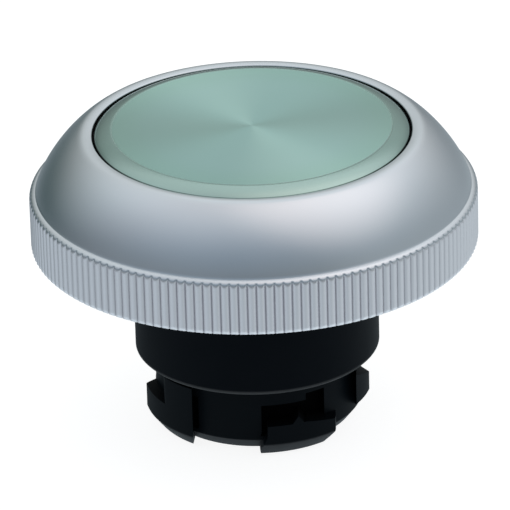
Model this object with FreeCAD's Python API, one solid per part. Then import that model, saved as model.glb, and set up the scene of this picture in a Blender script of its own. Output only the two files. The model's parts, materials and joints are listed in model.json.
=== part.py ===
import FreeCAD, Part
import math
import os
from FreeCAD import Vector

# Illuminated push-button head for a round 22.3 mm panel hole, as an assembly of separate pieces.
# Millimetres, +Z up along the push axis. The origin is the centre of the panel hole, at the plane
# where the bezel rests on the panel. Azimuth is measured from -Y, positive towards +X.

# ---- driving dimensions -------------------------------------------------------------------------

# front bezel
bezel_radius = 20.0           # over the knurl ridges
knurl_root_radius = 19.7
knurl_ridges = 160
knurl_height = 4.45           # grooves stop here, where the rim's edge is already rounding off
rim_top = 5.0
rim_rounding = 0.6
dome_foot = (19.46, 4.994)
dome_pole_low = (18.905, 6.61)
dome_pole_high = (17.15, 9.14)
dome_head = (15.32, 10.28)
lip_height = 10.40
lip_outer_radius = 15.1
lip_rounding = 0.2
opening_radius = 14.22
shoulder_height = 8.3         # underside of the inner shoulder round the opening
chamber_radius = 16.6
thread_radius = 17.4          # bore that screws over the collar's rim
thread_depth = 4.0

# lens
lens_radius = 14.0
lens_top = 10.8
lens_plateau_radius = 12.45
lens_underside = 9.6
lens_skirt_bottom = 8.0
lens_skirt_bore = 12.65
lens_groove_half = 0.08       # fine groove round the plateau
lens_groove_depth = 0.05
lens_shoulder_poles = ((13.2, 10.78), (13.7, 10.5), (13.88, 10.28))
lens_edge = ((13.97, 10.18), (14.0, 10.05))

# collar and neck
collar_radius = 11.0
collar_bottom = -10.5
collar_bore = 9.35
collar_floor_low = 0.7
collar_floor_top = 1.6
collar_rim_radius = 17.3
collar_rim_bore = 16.6
collar_rim_top = 3.4
well_radius = 8.3             # hole through the collar's floor
collar_chamfer = 0.22
boss_radius = 11.4            # locates the gasket; its underside meets the panel
neck_radius = 9.3
neck_bore = 7.7
socket_bore = 7.9             # mouth of the neck, where the contact adapter enters
socket_top = -12.7
neck_top = -0.2
neck_chamfer_start = -15.85
neck_bottom = -16.85
neck_bottom_radius = 8.5
web_top = -6.0
web_bottom = -7.5

# feet, lug, pockets and slots on the neck. Their side walls are flat and parallel to Y, the way
# the mould opens, so they are given as distances from the Y axis; other ends are azimuths.
foot_radius = 10.25
foot_face_bottom = -15.95
foot_bottom = -17.17
pocket_radius = 8.45          # floor of pockets and slots
latch_foot_sides = (0.65, 6.8)
latch_foot_top = -14.0
latch_foot_fall = 0.6         # how much lower its top is at the far end
latch_fall_start = 24         # azimuth where that fall begins
pip_place = 3.45
pip_half_width = 0.5
pip_height = 0.7
pocket_sides = (0.2, 5.76)
pocket_step = 4.18            # from here on the pocket is taller
pocket_low = -13.98
pocket_top = -12.45
pocket_tall_top = -11.8
stop_side = -5.96             # flat end of the stop block
stop_foot_end = -81.7
stop_block_end = -56
stop_block_top = -11.0
stop_foot_top = -13.68
slot_width = 0.48             # slot beside the stop block
slot_heights = (-15.4, -12.3)
lug_side = 8.72
lug_end = 77
lug_tops = (-11.5, -12.75)
lug_bottoms = (-14.5, -15.6)
relief_radius = 8.95          # the neck is thinner behind the stop foot
relief_low = -13.4
back_stop_turn = 190          # the second stop foot is keyed: not quite half a turn away

# push stem
stem_radius = 5.5
stem_bore = 4.2
bush_bore = 5.55
holder_flange_radius = 14.6
holder_flange_low = 6.9
holder_flange_top = 7.9
spring_radius = 6.75          # mean radius of the coil
spring_wire = 0.7
spring_turns = 7
washer_thickness = 0.4
bush_flange = 0.7             # thickness
bush_wall = 0.8
stem_waist = 0.5              # depth of the grooves for the clip and the actuator plate
stem_top = 8.5
stem_bottom = -12.0
stem_shoulder = (6.05, 6.2)   # radius and height of the collar under the holder
clip_groove_low = -8.2
plate_groove_top = -10.9

# plates, seals and clips
insert_radius = 12.4
insert_low = 9.15
insert_thickness = 0.4
diffuser_low = 8.6
diffuser_thickness = 0.5
lens_seal = (12.3, 0.3, 8.22)     # ring radius, section radius, height
bezel_seal = (17.0, 0.28)         # ring radius, section radius
holder_hub_radius = 11.5
holder_hub_low = 5.9
holder_core_radius = 10.2
holder_neck_radius = 11.95
holder_top = 8.54
grip_lip_radius = 14.2
grip_lip_heights = (5.82, 6.14)
grip_bead_stop = 13.3
clamp_bore = 15.7
clamp_heights = (2.3, 3.2)
clip_radius = 7.2
clip_opening = 25             # degrees on each side of the gap
guide_dome = ((0, 8.4), (2.2, 8.25), (4.2, 7.8))
guide_bottom = -11.5
guide_chamfer = 0.3
plate_corners = ((7.3, -12.6), (7.3, -11.3), (6.3, -10.9))
plate_slot_radius = 6.2
plate_slot_half = 12          # degrees
membrane_profile = (
    (13.4, 6.2), (14.3, 6.2), (14.75, 6.25), (15.05, 2.45), (14.9, 2.05), (14.9, 1.62),
    (16.5, 1.62), (16.5, 2.22), (15.45, 2.22), (15.5, 2.6), (15.2, 6.6), (14.9, 6.8), (13.4, 6.8),
)

gap = 0.05                    # assembly clearance between pieces that sit on each other
slack = 0.1                   # looser clearance round pieces that are pressed or snapped in


# ---- helpers ------------------------------------------------------------------------------------

def profile_face(points):
    """A flat face in the XZ plane from (radius, height) corners."""
    corners = [Vector(r, 0, z) for r, z in points]
    edges = [Part.LineSegment(a, b).toShape() for a, b in zip(corners, corners[1:] + corners[:1])]
    return Part.Face(Part.Wire(edges))


def turned(points):
    """A solid of revolution about Z from (radius, height) corners."""
    return profile_face(points).revolve(Vector(0, 0, 0), Vector(0, 0, 1), 360)


def turned_edges(edges):
    """A solid of revolution about Z from a closed chain of edges in the XZ plane."""
    return Part.Face(Part.Wire(edges)).revolve(Vector(0, 0, 0), Vector(0, 0, 1), 360)


def tube(bore, radius, low, high):
    """A plain ring or sleeve."""
    return turned([(bore, low), (radius, low), (radius, high), (bore, high)])


def sector(points, start, end):
    """A turned solid that spans only the azimuths from start to end."""
    solid = profile_face(points).revolve(Vector(0, 0, 0), Vector(0, 0, 1), end - start)
    solid.rotate(Vector(0, 0, 0), Vector(0, 0, 1), start - 90)
    return solid


def line(a, b):
    return Part.LineSegment(Vector(a[0], 0, a[1]), Vector(b[0], 0, b[1])).toShape()


def arc(a, middle, b):
    first, through, last = (Vector(r, 0, z) for r, z in (a, middle, b))
    return Part.Arc(first, through, last).toShape()


def curve(*poles):
    bezier = Part.BezierCurve()
    bezier.setPoles([Vector(r, 0, z) for r, z in poles])
    return bezier.toShape()


def o_ring(radius, section, height):
    return Part.makeTorus(radius, section, Vector(0, 0, height), Vector(0, 0, 1))


def sloped_top_cut(start, end, start_height, end_height):
    """A block above a plane that falls from start_height to end_height across a lug's span."""
    middle = math.radians((start + end) / 2)
    half_span = foot_radius * math.sin(math.radians(end - start) / 2)
    slope = math.atan2(end_height - start_height, 2 * half_span)
    block = Part.makeBox(30, 30, 10, Vector(-15, -15, 0))
    block.rotate(Vector(0, 0, 0), Vector(0, 1, 0), -math.degrees(slope))
    block.translate(Vector(0, 0, (start_height + end_height) / 2))
    block.rotate(Vector(0, 0, 0), Vector(0, 0, 1), math.degrees(middle))
    return block


# ---- front bezel and what seals it --------------------------------------------------------------

def make_knurled_band():
    """A ring whose outline is a triangle wave: one ridge and one groove per pitch."""
    wall = 0.6
    outline = []
    for step in range(2 * knurl_ridges):
        radius = bezel_radius if step % 2 == 0 else knurl_root_radius
        angle = math.pi * step / knurl_ridges
        outline.append(Vector(radius * math.cos(angle), radius * math.sin(angle), 0))
    outline.append(outline[0])
    band = Part.Face(Part.makePolygon(outline)).extrude(Vector(0, 0, knurl_height))
    return band.cut(Part.makeCylinder(knurl_root_radius - wall, knurl_height))


def make_front_bezel():
    """One turned aluminium piece: knurled rim, rounded edge, dome, lip and stepped bore."""
    core_radius = knurl_root_radius - 0.1
    band_radius = bezel_radius - 0.02
    round_start = rim_top - rim_rounding
    diagonal = rim_rounding * math.sqrt(0.5)
    round_middle = (band_radius - rim_rounding + diagonal, round_start + diagonal)
    lip_inner = (opening_radius + lip_rounding, lip_height)
    lip_middle = (opening_radius + 0.3 * lip_rounding, lip_height - 0.3 * lip_rounding)
    lip_end = (opening_radius, lip_height - lip_rounding)
    step_radius = chamber_radius - 0.8
    cone_height = shoulder_height - 0.8
    edges = [
        line((thread_radius, 0), (core_radius, 0)),
        line((core_radius, 0), (core_radius, round_start)),
        line((core_radius, round_start), (band_radius, round_start)),
        arc((band_radius, round_start), round_middle, dome_foot),
        curve(dome_foot, dome_pole_low, dome_pole_high, dome_head),
        line(dome_head, (lip_outer_radius, lip_height)),
        line((lip_outer_radius, lip_height), lip_inner),
        arc(lip_inner, lip_middle, lip_end),
        line(lip_end, (opening_radius, shoulder_height)),
        line((opening_radius, shoulder_height), (step_radius, shoulder_height)),
        line((step_radius, shoulder_height), (chamber_radius, cone_height)),
        line((chamber_radius, cone_height), (chamber_radius, thread_depth)),
        line((chamber_radius, thread_depth), (thread_radius, thread_depth)),
        line((thread_radius, thread_depth), (thread_radius, 0)),
    ]
    return turned_edges(edges).fuse(make_knurled_band()).removeSplitter()


def make_bezel_seal_ring():
    """O-ring squeezed between the bezel's inner step and the top of the collar's rim."""
    return o_ring(*bezel_seal, (collar_rim_top + thread_depth) / 2)


def make_panel_gasket():
    """Flat rubber ring under the collar's floor, level with the bezel's underside when fitted."""
    return tube(boss_radius + gap, collar_rim_radius, 0, collar_floor_low)


# ---- collar and bayonet neck --------------------------------------------------------------------

def make_mounting_collar():
    """Sleeve that passes through the panel, with a floor and an upright rim inside the bezel."""
    return turned([
        (collar_bore, collar_bottom),
        (collar_radius - collar_chamfer, collar_bottom),
        (collar_radius, collar_bottom + collar_chamfer),
        (collar_radius, 0),
        (boss_radius, 0),
        (boss_radius, collar_floor_low),
        (collar_rim_radius, collar_floor_low),
        (collar_rim_radius, collar_rim_top),
        (collar_rim_bore, collar_rim_top),
        (collar_rim_bore, collar_floor_top),
        (well_radius, collar_floor_top),
        (well_radius, neck_top + gap),
        (collar_bore, neck_top + gap),
    ])


def foot_profile(top):
    """Section of a bayonet foot: outer face, then a steep chamfer back to the neck."""
    return [
        (pocket_radius, top),
        (foot_radius, top),
        (foot_radius, foot_face_bottom),
        (neck_radius, foot_bottom),
        (pocket_radius, foot_bottom),
    ]


def front_slab(shape, low_x, high_x):
    """The part of a shape in front of the push axis, between two walls parallel to Y."""
    return shape.common(Part.makeBox(high_x - low_x, 20, 30, Vector(low_x, -20, -25)))


def make_latch_foot():
    """Foot under a pocket: its top falls away at one end and carries a small pointed pip."""
    low_x, high_x = latch_foot_sides
    foot = front_slab(sector(foot_profile(latch_foot_top), -5, 50), low_x, high_x)
    end = math.degrees(math.asin(high_x / foot_radius))
    low_top = latch_foot_top - latch_foot_fall
    foot = foot.cut(sloped_top_cut(latch_fall_start, end, latch_foot_top, low_top))
    angle = math.asin(pip_place / foot_radius)
    outward = Vector(math.sin(angle), -math.cos(angle), 0)
    along = Vector(math.cos(angle), math.sin(angle), 0)
    thickness = 0.6
    sunk = 0.1
    base = outward * (foot_radius - thickness - gap) + Vector(0, 0, latch_foot_top - sunk)
    half = along * pip_half_width
    tip = base + Vector(0, 0, pip_height + sunk)
    tooth = Part.makePolygon([base - half, base + half, tip, base - half])
    return foot.fuse(Part.Face(tooth).extrude(outward * thickness))


def make_stop_foot():
    """Foot that ends in a full-height stop block with a flat end."""
    foot = sector(foot_profile(stop_foot_top), stop_foot_end, stop_block_end + 1)
    block = front_slab(sector(foot_profile(stop_block_top), stop_block_end, -25), -20, stop_side)
    return foot.fuse(block)


def make_ramp_lug():
    """Single lead-in ramp that keys the adapter; its top falls towards the side."""
    face_bottom, bottom = lug_bottoms
    first_top, last_top = lug_tops
    start = math.degrees(math.asin(lug_side / foot_radius))
    profile = [
        (pocket_radius, first_top),
        (foot_radius, first_top),
        (foot_radius, face_bottom),
        (neck_radius, bottom),
        (pocket_radius, bottom),
    ]
    lug = front_slab(sector(profile, start - 5, lug_end), lug_side, 20)
    return lug.cut(sloped_top_cut(start, lug_end, first_top, last_top))


def make_latch_pocket():
    """Blind pocket above a latch foot, in two heights."""
    outside = foot_radius + 0.5
    overlap = 0.05
    wide = sector([(pocket_radius, pocket_low), (outside, pocket_low), (outside, pocket_top),
                   (pocket_radius, pocket_top)], -5, 50)
    tall = sector([(pocket_radius, pocket_top - overlap), (outside, pocket_top - overlap),
                   (outside, pocket_tall_top), (pocket_radius, pocket_tall_top)], -5, 50)
    return front_slab(wide, *pocket_sides).fuse(front_slab(tall, pocket_step, pocket_sides[1]))


def make_stop_slot():
    """Narrow blind slot along the flat end of a stop block."""
    low, high = slot_heights
    ring = sector([(pocket_radius, low), (foot_radius + 0.5, low), (foot_radius + 0.5, high),
                   (pocket_radius, high)], -60, -20)
    return front_slab(ring, stop_side, stop_side + slot_width)


def make_relief():
    """The neck steps in behind the end of a stop foot, up to the collar."""
    outside = foot_radius + 0.5
    slope = neck_radius - relief_radius
    span = 40
    return sector([
        (relief_radius, relief_low),
        (neck_radius + 0.01, relief_low - slope),
        (outside, relief_low - slope),
        (outside, collar_bottom),
        (relief_radius, collar_bottom),
    ], stop_foot_end - span, stop_foot_end)


def turned_about(make, angle):
    """A feature made again, turned about the push axis."""
    shape = make()
    shape.rotate(Vector(0, 0, 0), Vector(0, 0, 1), angle)
    return shape


def make_bayonet_body():
    """Tube with an inner web, feet, a ramp and stop blocks, and pockets above the feet."""
    body = turned([
        (socket_bore, neck_bottom),
        (neck_bottom_radius, neck_bottom),
        (neck_radius, neck_chamfer_start),
        (neck_radius, neck_top),
        (neck_bore, neck_top),
        (neck_bore, web_top),
        (bush_seat_radius(), web_top),
        (bush_seat_radius(), web_bottom),
        (neck_bore, web_bottom),
        (neck_bore, socket_top),
        (socket_bore, socket_top),
    ])
    lugs = [make_latch_foot(), turned_about(make_latch_foot, 180),
            make_stop_foot(), turned_about(make_stop_foot, back_stop_turn), make_ramp_lug()]
    cuts = [make_latch_pocket(), turned_about(make_latch_pocket, 180),
            make_stop_slot(), turned_about(make_stop_slot, back_stop_turn), make_relief()]
    return body.fuse(lugs).cut(cuts).removeSplitter()


def bush_seat_radius():
    return bush_bore + bush_wall


def make_guide_bush():
    """Flanged plain bush, pressed into the web; the push stem slides in it."""
    return turned([
        (bush_bore, web_bottom),
        (bush_seat_radius(), web_bottom),
        (bush_seat_radius(), web_top),
        (neck_bore - slack, web_top),
        (neck_bore - slack, web_top + bush_flange),
        (bush_bore, web_top + bush_flange),
    ])


def make_spring_washer():
    """Flat steel washer on the bush's flange, under the spring."""
    low = web_top + bush_flange
    return tube(stem_radius + 3 * slack, neck_bore - 2 * slack, low, low + washer_thickness)


# ---- return spring and membrane -----------------------------------------------------------------

def make_return_spring():
    """Compression coil between the washer and the underside of the lens holder."""
    low = web_top + bush_flange + washer_thickness + gap + spring_wire / 2
    high = holder_flange_low - gap - spring_wire / 2
    pitch = (high - low) / spring_turns
    helix = Part.makeHelix(pitch, high - low, spring_radius)
    section = Part.Wire(Part.makeCircle(spring_wire / 2, Vector(spring_radius, 0, 0), Vector(0, 1, 0)))
    coil = Part.Wire(helix.Edges).makePipeShell([section], True, True)
    coil.translate(Vector(0, 0, low))
    return coil


def make_sealing_membrane():
    """Rubber skirt: inner bead under the holder's flange, outer bead on the collar's floor."""
    return turned(list(membrane_profile))


def make_membrane_clamp_ring():
    """Ring snapped inside the collar's rim; it presses the membrane's outer bead down."""
    return tube(clamp_bore, collar_rim_bore - 0.03, *clamp_heights)


# ---- the moving button --------------------------------------------------------------------------

def make_lens_cap():
    """Cup with a flat plateau, a fine groove round it, a rounded shoulder and a skirt."""
    groove_inner = (lens_plateau_radius - lens_groove_half, lens_top)
    groove_floor = (lens_plateau_radius, lens_top - lens_groove_depth)
    groove_outer = (lens_plateau_radius + lens_groove_half, lens_top)
    edges = [
        line((0, lens_underside), (0, lens_top)),
        line((0, lens_top), groove_inner),
        arc(groove_inner, groove_floor, groove_outer),
        curve(groove_outer, *lens_shoulder_poles),
        arc(lens_shoulder_poles[-1], *lens_edge),
        line(lens_edge[-1], (lens_radius, lens_skirt_bottom)),
        line((lens_radius, lens_skirt_bottom), (lens_skirt_bore, lens_skirt_bottom)),
        line((lens_skirt_bore, lens_skirt_bottom), (lens_skirt_bore, lens_underside)),
        line((lens_skirt_bore, lens_underside), (0, lens_underside)),
    ]
    return turned_edges(edges)


def make_insert_plate():
    """Thin round plate with a turned face, seen through the lens."""
    return Part.makeCylinder(insert_radius, insert_thickness, Vector(0, 0, insert_low))


def make_diffuser_disc():
    """Milky disc that spreads the lamp's light under the insert plate."""
    return Part.makeCylinder(insert_radius, diffuser_thickness, Vector(0, 0, diffuser_low))


def make_lens_seal_ring():
    """O-ring in the groove round the lens holder; the lens skirt snaps over it."""
    return o_ring(*lens_seal)


def make_lens_holder():
    """Round carrier: seal groove, flange under the bezel's shoulder, hub and stem socket."""
    return turned([
        (stem_radius, holder_flange_low),
        (holder_core_radius, holder_flange_low),
        (holder_core_radius, holder_hub_low),
        (holder_hub_radius, holder_hub_low),
        (holder_hub_radius, holder_flange_low),
        (holder_flange_radius, holder_flange_low),
        (holder_flange_radius, holder_flange_top),
        (holder_neck_radius, holder_flange_top),
        (holder_neck_radius, holder_top),
        (stem_radius, holder_top),
    ])


def make_membrane_grip_ring():
    """Ring pressed on the holder's hub; its lip carries the membrane's inner bead."""
    low, high = grip_lip_heights
    return turned([
        (holder_hub_radius, low),
        (grip_lip_radius, low),
        (grip_lip_radius, high),
        (grip_bead_stop, high),
        (grip_bead_stop, holder_flange_low),
        (holder_hub_radius, holder_flange_low),
    ])


def make_plunger_sleeve():
    """Hollow push stem with a shoulder under the holder and a groove for the stop clip."""
    waist = stem_radius - stem_waist
    shoulder_radius, shoulder_low = stem_shoulder
    return turned([
        (stem_bore, stem_bottom),
        (waist, stem_bottom),
        (waist, plate_groove_top),
        (stem_radius, plate_groove_top),
        (stem_radius, clip_groove_low),
        (waist, clip_groove_low),
        (waist, web_bottom),
        (stem_radius, web_bottom),
        (stem_radius, shoulder_low),
        (shoulder_radius, shoulder_low),
        (shoulder_radius, holder_flange_low),
        (stem_radius, holder_flange_low),
        (stem_radius, stem_top),
        (stem_bore, stem_top),
    ])


def make_light_guide():
    """Clear rod with a bulged top, carrying the lamp's light up the stem."""
    foot = (stem_bore - guide_chamfer, guide_bottom)
    side = (stem_bore, guide_bottom + guide_chamfer)
    edges = [
        line((0, guide_bottom), guide_dome[0]),
        arc(*guide_dome),
        line(guide_dome[-1], side),
        line(side, foot),
        line(foot, (0, guide_bottom)),
    ]
    return turned_edges(edges)


def make_stop_clip():
    """Open spring-steel ring in the stem's groove; it meets the bush when the button is up."""
    inner = stem_radius - stem_waist
    low, high = clip_groove_low + gap, web_bottom - gap
    section = [(inner, low), (clip_radius, low), (clip_radius, high), (inner, high)]
    return sector(section, clip_opening, 360 - clip_opening)


def make_actuator_plate():
    """Ring on the stem's lower end that pushes the contact elements behind the panel."""
    waist = stem_radius - stem_waist
    low, high = plate_corners[0][1], plate_corners[-1][1]
    plate = turned([(waist, low), *plate_corners, (waist, high)])
    section = [(plate_slot_radius, low - 1), (8, low - 1), (8, high + 1), (plate_slot_radius, high + 1)]
    slots = [sector(section, azimuth - plate_slot_half, azimuth + plate_slot_half) for azimuth in (0, 180)]
    return plate.cut(slots)


# ---- write one file per piece -------------------------------------------------------------------

pieces = {
    "front_bezel": make_front_bezel,
    "bezel_seal_ring": make_bezel_seal_ring,
    "panel_gasket": make_panel_gasket,
    "mounting_collar": make_mounting_collar,
    "bayonet_body": make_bayonet_body,
    "guide_bush": make_guide_bush,
    "spring_washer": make_spring_washer,
    "return_spring": make_return_spring,
    "sealing_membrane": make_sealing_membrane,
    "membrane_clamp_ring": make_membrane_clamp_ring,
    "lens_cap": make_lens_cap,
    "insert_plate": make_insert_plate,
    "diffuser_disc": make_diffuser_disc,
    "lens_seal_ring": make_lens_seal_ring,
    "lens_holder": make_lens_holder,
    "membrane_grip_ring": make_membrane_grip_ring,
    "plunger_sleeve": make_plunger_sleeve,
    "light_guide": make_light_guide,
    "stop_clip": make_stop_clip,
    "actuator_plate": make_actuator_plate,
}

os.makedirs("parts", exist_ok=True)
for name, make in pieces.items():
    shape = make()
    if len(shape.Solids) == 1:
        shape = shape.Solids[0]
    if shape.Volume < 0:
        shape.reverse()
    state = "valid" if shape.isValid() else "BAD"
    print(name, len(shape.Solids), "solid(s)", round(shape.Volume, 1), "mm3", state)
    shape.exportStep("parts/" + name + ".step")
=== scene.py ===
import json
import math
import bmesh
import bpy
import numpy as np
from mathutils import Matrix, Vector


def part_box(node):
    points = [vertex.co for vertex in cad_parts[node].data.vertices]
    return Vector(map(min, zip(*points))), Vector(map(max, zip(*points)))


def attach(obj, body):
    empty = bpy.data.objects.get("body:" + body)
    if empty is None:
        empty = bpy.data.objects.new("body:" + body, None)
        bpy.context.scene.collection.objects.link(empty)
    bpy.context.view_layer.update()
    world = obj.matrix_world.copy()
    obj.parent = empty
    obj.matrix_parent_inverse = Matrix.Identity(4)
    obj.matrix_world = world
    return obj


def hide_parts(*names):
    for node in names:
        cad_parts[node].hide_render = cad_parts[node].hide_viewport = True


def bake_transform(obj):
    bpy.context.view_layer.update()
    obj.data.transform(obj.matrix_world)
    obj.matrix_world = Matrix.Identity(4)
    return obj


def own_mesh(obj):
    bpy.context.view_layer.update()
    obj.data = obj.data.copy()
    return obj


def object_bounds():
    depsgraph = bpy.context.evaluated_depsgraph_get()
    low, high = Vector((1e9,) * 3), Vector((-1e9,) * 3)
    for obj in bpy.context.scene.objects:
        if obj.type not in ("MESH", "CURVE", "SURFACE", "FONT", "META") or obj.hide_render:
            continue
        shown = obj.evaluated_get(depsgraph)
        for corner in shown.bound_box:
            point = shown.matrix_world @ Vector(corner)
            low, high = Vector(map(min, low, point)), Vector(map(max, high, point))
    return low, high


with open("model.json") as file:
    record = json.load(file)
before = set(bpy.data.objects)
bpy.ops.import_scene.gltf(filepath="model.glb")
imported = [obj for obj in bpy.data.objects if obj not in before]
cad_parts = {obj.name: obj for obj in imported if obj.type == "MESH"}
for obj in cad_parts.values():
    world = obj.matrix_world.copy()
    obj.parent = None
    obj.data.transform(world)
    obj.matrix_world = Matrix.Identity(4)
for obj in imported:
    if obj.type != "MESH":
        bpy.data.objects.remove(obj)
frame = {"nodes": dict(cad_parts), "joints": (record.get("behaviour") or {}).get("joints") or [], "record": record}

mm = 0.001
cadBox = [list(corner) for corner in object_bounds()]
print("stage: frame loaded,", len(frame["nodes"]), "nodes")


# camera: a long lens, looking down on the button a little, rolled a touch

cameraSet = {
    "elevation": 25.72,       # degrees above the horizon
    "roll": -1.56,            # degrees
    "distance": 501.0,        # mm from the centre of the panel hole
    "aimRight": 0.028,        # mm that the view's centre lies beside the panel hole's centre
    "aimDown": 1.771,         # mm that it lies below it
    "focal": 395.3,           # mm
    "sensor": 36.0,           # mm
    "nearest": 0.01,          # m
    "farthest": 20,           # m
}


def makeCamera():
    elevation, roll = math.radians(cameraSet["elevation"]), math.radians(cameraSet["roll"])
    back = Vector((0, -math.cos(elevation), math.sin(elevation)))
    right = Vector((1, 0, 0))
    up = back.cross(right)
    turnedRight = right * math.cos(roll) + up * math.sin(roll)
    turnedUp = up * math.cos(roll) - right * math.sin(roll)
    aim = turnedRight * cameraSet["aimRight"] - turnedUp * cameraSet["aimDown"]
    place = (back * cameraSet["distance"] + aim) * mm
    data = bpy.data.cameras.new("studioCamera")
    data.sensor_width = cameraSet["sensor"]
    data.lens = cameraSet["focal"]
    data.clip_start = cameraSet["nearest"]
    data.clip_end = cameraSet["farthest"]
    camera = bpy.data.objects.new("studioCamera", data)
    bpy.context.scene.collection.objects.link(camera)
    turn = Matrix((turnedRight, turnedUp, back)).transposed().to_4x4()
    camera.matrix_world = Matrix.Translation(place) @ turn
    bpy.context.scene.camera = camera


makeCamera()
bpy.context.scene.view_settings.view_transform = "Standard"


# shader maths: a Wire is one socket of a node tree, and arithmetic on it adds Math nodes

class Wire:
    def __init__(self, tree, socket=None):
        self.tree, self.socket = tree, socket

    def node(self, kind, settings=None, inputs=None, output=0):
        made = self.tree.nodes.new(kind)
        for key, value in (settings or {}).items():
            setattr(made, key, value)
        for key, value in (inputs or {}).items():
            if isinstance(value, Wire):
                self.tree.links.new(value.socket, made.inputs[key])
            else:
                made.inputs[key].default_value = value
        return Wire(self.tree, made.outputs[output])

    def math(self, operation, *values):
        return self.node("ShaderNodeMath", {"operation": operation}, dict(enumerate(values)))

    def __add__(self, other):
        return self.math("ADD", self, other)

    def __radd__(self, other):
        return self.math("ADD", other, self)

    def __sub__(self, other):
        return self.math("SUBTRACT", self, other)

    def __rsub__(self, other):
        return self.math("SUBTRACT", other, self)

    def __mul__(self, other):
        return self.math("MULTIPLY", self, other)

    def __rmul__(self, other):
        return self.math("MULTIPLY", other, self)

    def sine(self):
        return self.math("SINE", self)

    def least(self, other):
        return self.math("MINIMUM", self, other)

    def step(self, low, high):
        # 0 below low and 1 above high, with a smooth rise between
        return self.node("ShaderNodeMapRange", {"interpolation_type": "SMOOTHSTEP"},
                         {"Value": self, "From Min": low, "From Max": high})

    def mix(self, first, second):
        # self is the share of the second colour; a colour is a Wire or three numbers
        first, second = (c if isinstance(c, Wire) else (*c, 1) for c in (first, second))
        return self.node("ShaderNodeMix", {"data_type": "RGBA"}, {0: self, 6: first, 7: second}, 2)

    def scaled(self, factors):
        return self.node("ShaderNodeVectorMath", {"operation": "MULTIPLY"}, {0: self, 1: factors})

    def length(self):
        return self.node("ShaderNodeVectorMath", {"operation": "LENGTH"}, {0: self}, "Value")

    def dot(self, vector):
        return self.node("ShaderNodeVectorMath", {"operation": "DOT_PRODUCT"},
                         {0: self, 1: vector}, "Value")

    def noise(self, scale, detail=2.0):
        return self.node("ShaderNodeTexNoise", {},
                         {"Vector": self, "Scale": scale, "Detail": detail})

    def bump(self, height, strength, distance):
        return self.node("ShaderNodeBump", {},
                         {"Height": height, "Strength": strength, "Distance": distance})


def newMaterial(name):
    # returns the material, its shader node and an unlinked Wire to start from
    material = bpy.data.materials.new(name)
    material.use_nodes = True
    tree = material.node_tree
    shader = next(n for n in tree.nodes if n.type == "BSDF_PRINCIPLED")
    return material, shader, Wire(tree)


def feed(start, shader, **sockets):
    # spaces in socket names are written as underscores
    for name, value in sockets.items():
        socket = shader.inputs[name.replace("_", " ")]
        if isinstance(value, Wire):
            start.tree.links.new(value.socket, socket)
        else:
            socket.default_value = value


def attributeOf(start, name):
    return start.node("ShaderNodeAttribute", {"attribute_name": name}, output="Fac")


def placeOf(start):
    return start.node("ShaderNodeTexCoord", output="Object")


def radiusOf(place):
    # distance from the push axis
    return place.scaled((1, 1, 0)).length()


def turnedLines(radius, pitch):
    # a sine wave of the distance from the push axis, one wave each pitch in mm
    return (radius * (2 * math.pi / (pitch * mm))).sine()


# surfaces: points on a grid of rows (along a profile) and columns (round the push axis)

def gridMesh(name, points, closedProfile, **values):
    # points is rows x columns x 3 in metres; columns always join up, rows join up on a closed
    # profile, and the first or last row of an open profile may be a pole, drawn together later;
    # each of values is one number for each point, kept as a mesh attribute
    rows, columns = points.shape[:2]
    index = np.arange(rows * columns).reshape(rows, columns)
    below = np.roll(index, -1, 0) if closedProfile else index[1:]
    above = index if closedProfile else index[:-1]
    quads = np.stack([above, below, np.roll(below, -1, 1), np.roll(above, -1, 1)], -1)
    quads = quads.reshape(-1, 4)
    mesh = bpy.data.meshes.new(name)
    vertices = points.reshape(-1, 3)
    mesh.vertices.add(len(vertices))
    mesh.vertices.foreach_set("co", vertices.astype(np.float32).ravel())
    mesh.loops.add(quads.size)
    mesh.loops.foreach_set("vertex_index", quads.astype(np.int32).ravel())
    mesh.polygons.add(len(quads))
    mesh.polygons.foreach_set("loop_start", np.arange(0, quads.size, 4, dtype=np.int32))
    mesh.update(calc_edges=True)
    for key, value in values.items():
        layer = mesh.attributes.new(key, "FLOAT", "POINT")
        spread = np.broadcast_to(value, (rows, columns)).astype(np.float32)
        layer.data.foreach_set("value", spread.ravel())
    mesh.validate()
    return mesh


def drawTogether(mesh):
    # merges doubled points, so that poles are one point, and turns every face outwards
    work = bmesh.new()
    work.from_mesh(mesh)
    bmesh.ops.remove_doubles(work, verts=work.verts, dist=1e-7)
    bmesh.ops.dissolve_degenerate(work, edges=work.edges, dist=1e-8)
    bmesh.ops.recalc_face_normals(work, faces=work.faces)
    work.to_mesh(mesh)
    work.free()


def addPiece(name, mesh, material, body, slotName, *stoodFor, sharp=180):
    # edges that turn by more than sharp degrees stay crisp; a piece with no body is left unattached
    drawTogether(mesh)
    mesh.polygons.foreach_set("use_smooth", np.ones(len(mesh.polygons), bool))
    if sharp < 180:
        mesh.set_sharp_from_angle(angle=math.radians(sharp))
    mesh.materials.append(material)
    piece = bpy.data.objects.new(name, mesh)
    bpy.context.scene.collection.objects.link(piece)
    if body:
        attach(piece, body)
    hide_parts(*stoodFor)
    print("stage: piece", name, len(mesh.polygons), "faces")
    return piece


def rise(value, edge, soft):
    # 0 below the edge and 1 above it, with a smooth step as wide as soft
    share = np.clip((value - edge) / soft + 0.5, 0, 1)
    return share * share * (3 - 2 * share)


def between(value, low, high, soft):
    # 1 from low to high and 0 outside, with the same smooth steps
    return rise(value, low, soft) - rise(value, high, soft)


def linesWith(low, high, step, edges, soft):
    # evenly spaced values, and five closely spaced ones across each edge
    even = np.arange(low, high, step)
    near = np.array(edges)
    near = near[(near > low) & (near < high)]
    even = even[np.abs(even[:, None] - near[None]).min(1) > 0.8 * soft]
    close = (near[:, None] + soft * np.array([-0.5, -0.25, 0, 0.25, 0.5])[None]).ravel()
    return np.unique(np.round(np.concatenate([even, close]), 4))


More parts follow.
